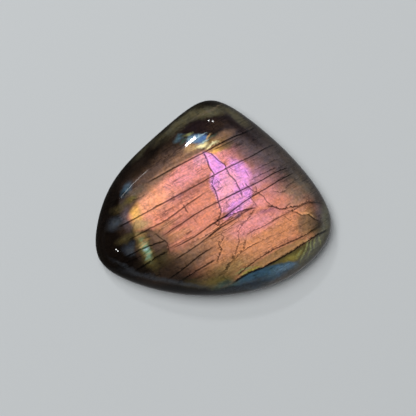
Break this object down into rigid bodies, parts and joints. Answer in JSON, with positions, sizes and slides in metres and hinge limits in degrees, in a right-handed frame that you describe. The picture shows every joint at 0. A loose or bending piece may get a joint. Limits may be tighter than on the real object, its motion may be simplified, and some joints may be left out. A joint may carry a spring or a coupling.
{
  "type": "labradorite cabochon",
  "caption": "Polished three-cornered labradorite stone with a domed front, a bevelled girdle and a flat back.",
  "frame": {"origin": "on the flat back, in the middle of the stone's length and width", "axes": "+X along the stone's length towards its right corner, +Y towards its top corner, +Z out of the dome"},
  "size_m": [0.043, 0.0358, 0.01],
  "materials": {
    "polished_labradorite": "polished, glassy"
  },
  "bodies": {
    "root": {"cabochon": "polished_labradorite"}
  },
  "joints": []
}
